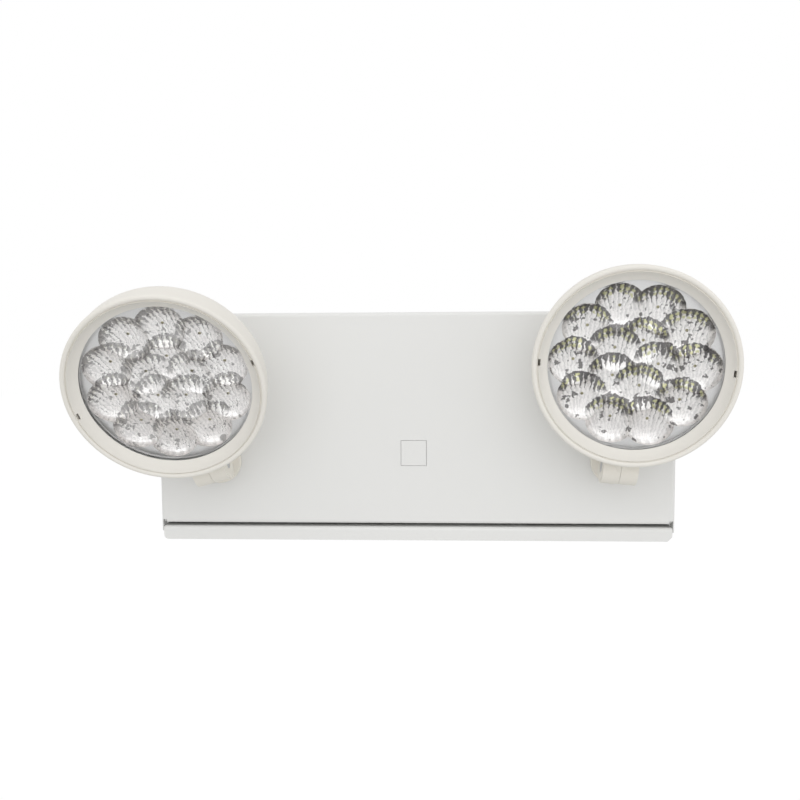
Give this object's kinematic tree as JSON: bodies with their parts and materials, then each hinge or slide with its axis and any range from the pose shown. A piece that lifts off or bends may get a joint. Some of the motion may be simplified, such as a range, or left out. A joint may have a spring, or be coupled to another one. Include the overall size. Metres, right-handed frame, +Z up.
{
  "type": "emergency light",
  "caption": "Wall-mounted emergency light: folded steel case with battery and charger inside, and turnable round lamp heads on clamp arms above a hinged front cover.",
  "frame": {"origin": "centre of the wall screw pattern on the wall face, at half of the overall height", "axes": "+X to the viewer's right, +Y into the wall, +Z up; the cover faces -Y"},
  "size_m": [0.3608, 0.1737, 0.1602],
  "materials": {
    "cabinet_paint": "white powder coat, fine texture",
    "head_plastic": "warm white moulded plastic",
    "clear_lens": "clear polished plastic",
    "optic_bright": "bright metallised",
    "steel": "zinc plated",
    "brass": "plated",
    "aluminium": "plain",
    "core_steel": "laminated, varnished",
    "coil_tape": "wrapped tape",
    "battery_case": "dark moulded case",
    "board_green": "solder mask",
    "board_white": "white solder mask",
    "relay_blue": "moulded",
    "capacitor_sleeve": "sleeve",
    "plug_nylon": "natural nylon",
    "dark_plastic": "moulded",
    "gasket_rubber": "soft, translucent grey",
    "button_red": "moulded",
    "lamp_red": "tinted clear",
    "chip_yellow": "phosphor",
    "lead_red": "sleeve",
    "lead_black": "sleeve",
    "lead_yellow": "sleeve",
    "lead_blue": "sleeve",
    "lead_white": "sleeve",
    "earth_green": "tinted zinc"
  },
  "bodies": {
    "cabinet": {"back_box": "cabinet_paint", "box_knockouts": "cabinet_paint", "earth_screw": "earth_green", "supply_terminals": "plug_nylon", "battery": "battery_case", "battery_terminals": "steel", "battery_strap": "steel", "box_screws": "steel", "battery_lead_red": "lead_red", "battery_lead_black": "lead_black", "charger_board": "board_green", "board_standoffs": "brass", "board_relay": "relay_blue", "board_capacitors": "capacitor_sleeve", "board_heat_sink": "aluminium", "board_connectors": "plug_nylon", "transformer_core": "core_steel", "transformer_coil": "coil_tape", "transformer_leads": "lead_yellow", "test_switch": "dark_plastic", "test_switch_nut": "steel", "status_lamp": "lamp_red", "status_lamp_clip": "dark_plastic", "switch_leads": "lead_blue", "lamp_leads_in_box": "lead_white"},
    "cover": {"front_cover": "cabinet_paint", "cover_knockout": "cabinet_paint", "hinge_pins": "steel", "lamp_leads_on_cover": "lead_white"},
    "test_button": {"test_button": "button_red"},
    "left_swivel": {"left_swivel_stem": "head_plastic", "left_swivel_nut": "steel"},
    "left_arm": {"left_arm_inner_half": "head_plastic", "left_arm_outer_half": "head_plastic", "left_arm_screw": "steel"},
    "left_head": {"left_head_shell": "head_plastic", "left_bezel": "head_plastic", "left_lens": "clear_lens", "left_lens_gasket": "gasket_rubber", "left_optic_cups": "optic_bright", "left_light_board": "board_white", "left_light_chips": "chip_yellow", "left_heat_sink": "aluminium", "left_head_screws": "steel", "left_head_lead": "lead_white"},
    "right_swivel": {"right_swivel_stem": "head_plastic", "right_swivel_nut": "steel"},
    "right_arm": {"right_arm_inner_half": "head_plastic", "right_arm_outer_half": "head_plastic", "right_arm_screw": "steel"},
    "right_head": {"right_head_shell": "head_plastic", "right_bezel": "head_plastic", "right_lens": "clear_lens", "right_lens_gasket": "gasket_rubber", "right_optic_cups": "optic_bright", "right_light_board": "board_white", "right_light_chips": "chip_yellow", "right_heat_sink": "aluminium", "right_head_screws": "steel", "right_head_lead": "lead_white"}
  },
  "joints": [
    {"name": "cover_hinge", "type": "hinge", "parent": "cabinet", "child": "cover", "pos_m": [0, -0.083, -0.054], "axis": [1, 0, 0], "range_deg": [0, 90]},
    {"name": "test_button_press", "type": "slide", "parent": "cabinet", "child": "test_button", "axis": [0, 0, 1], "range_m": [0, 0.0015], "stiffness_N_per_m": 300, "springref_m": -0.002},
    {"name": "left_swivel_turn", "type": "hinge", "parent": "cover", "child": "left_swivel", "pos_m": [-0.116, -0.109, -0.02], "axis": [0, -1, 0], "range_deg": [-105.9, 74.1]},
    {"name": "left_head_tilt", "type": "hinge", "parent": "left_swivel", "child": "left_arm", "pos_m": [-0.116, -0.109, -0.02], "axis": [0.9617, 0, 0.274], "range_deg": [-22.7, 62.3]},
    {"name": "left_head_pan", "type": "hinge", "parent": "left_arm", "child": "left_head", "pos_m": [-0.116, -0.109, -0.02], "axis": [-0.2527, -0.3859, 0.8872], "range_deg": [-11.1, 18.9]},
    {"name": "right_swivel_turn", "type": "hinge", "parent": "cover", "child": "right_swivel", "pos_m": [0.116, -0.109, -0.02], "axis": [0, -1, 0], "range_deg": [-84.7, 95.3]},
    {"name": "right_head_tilt", "type": "hinge", "parent": "right_swivel", "child": "right_arm", "pos_m": [0.116, -0.109, -0.02], "axis": [0.9957, 0, -0.0924], "range_deg": [-9.3, 75.7]},
    {"name": "right_head_pan", "type": "hinge", "parent": "right_arm", "child": "right_head", "pos_m": [0.116, -0.109, -0.02], "axis": [0.0912, -0.1616, 0.9826], "range_deg": [-11.1, 18.9]}
  ]
}
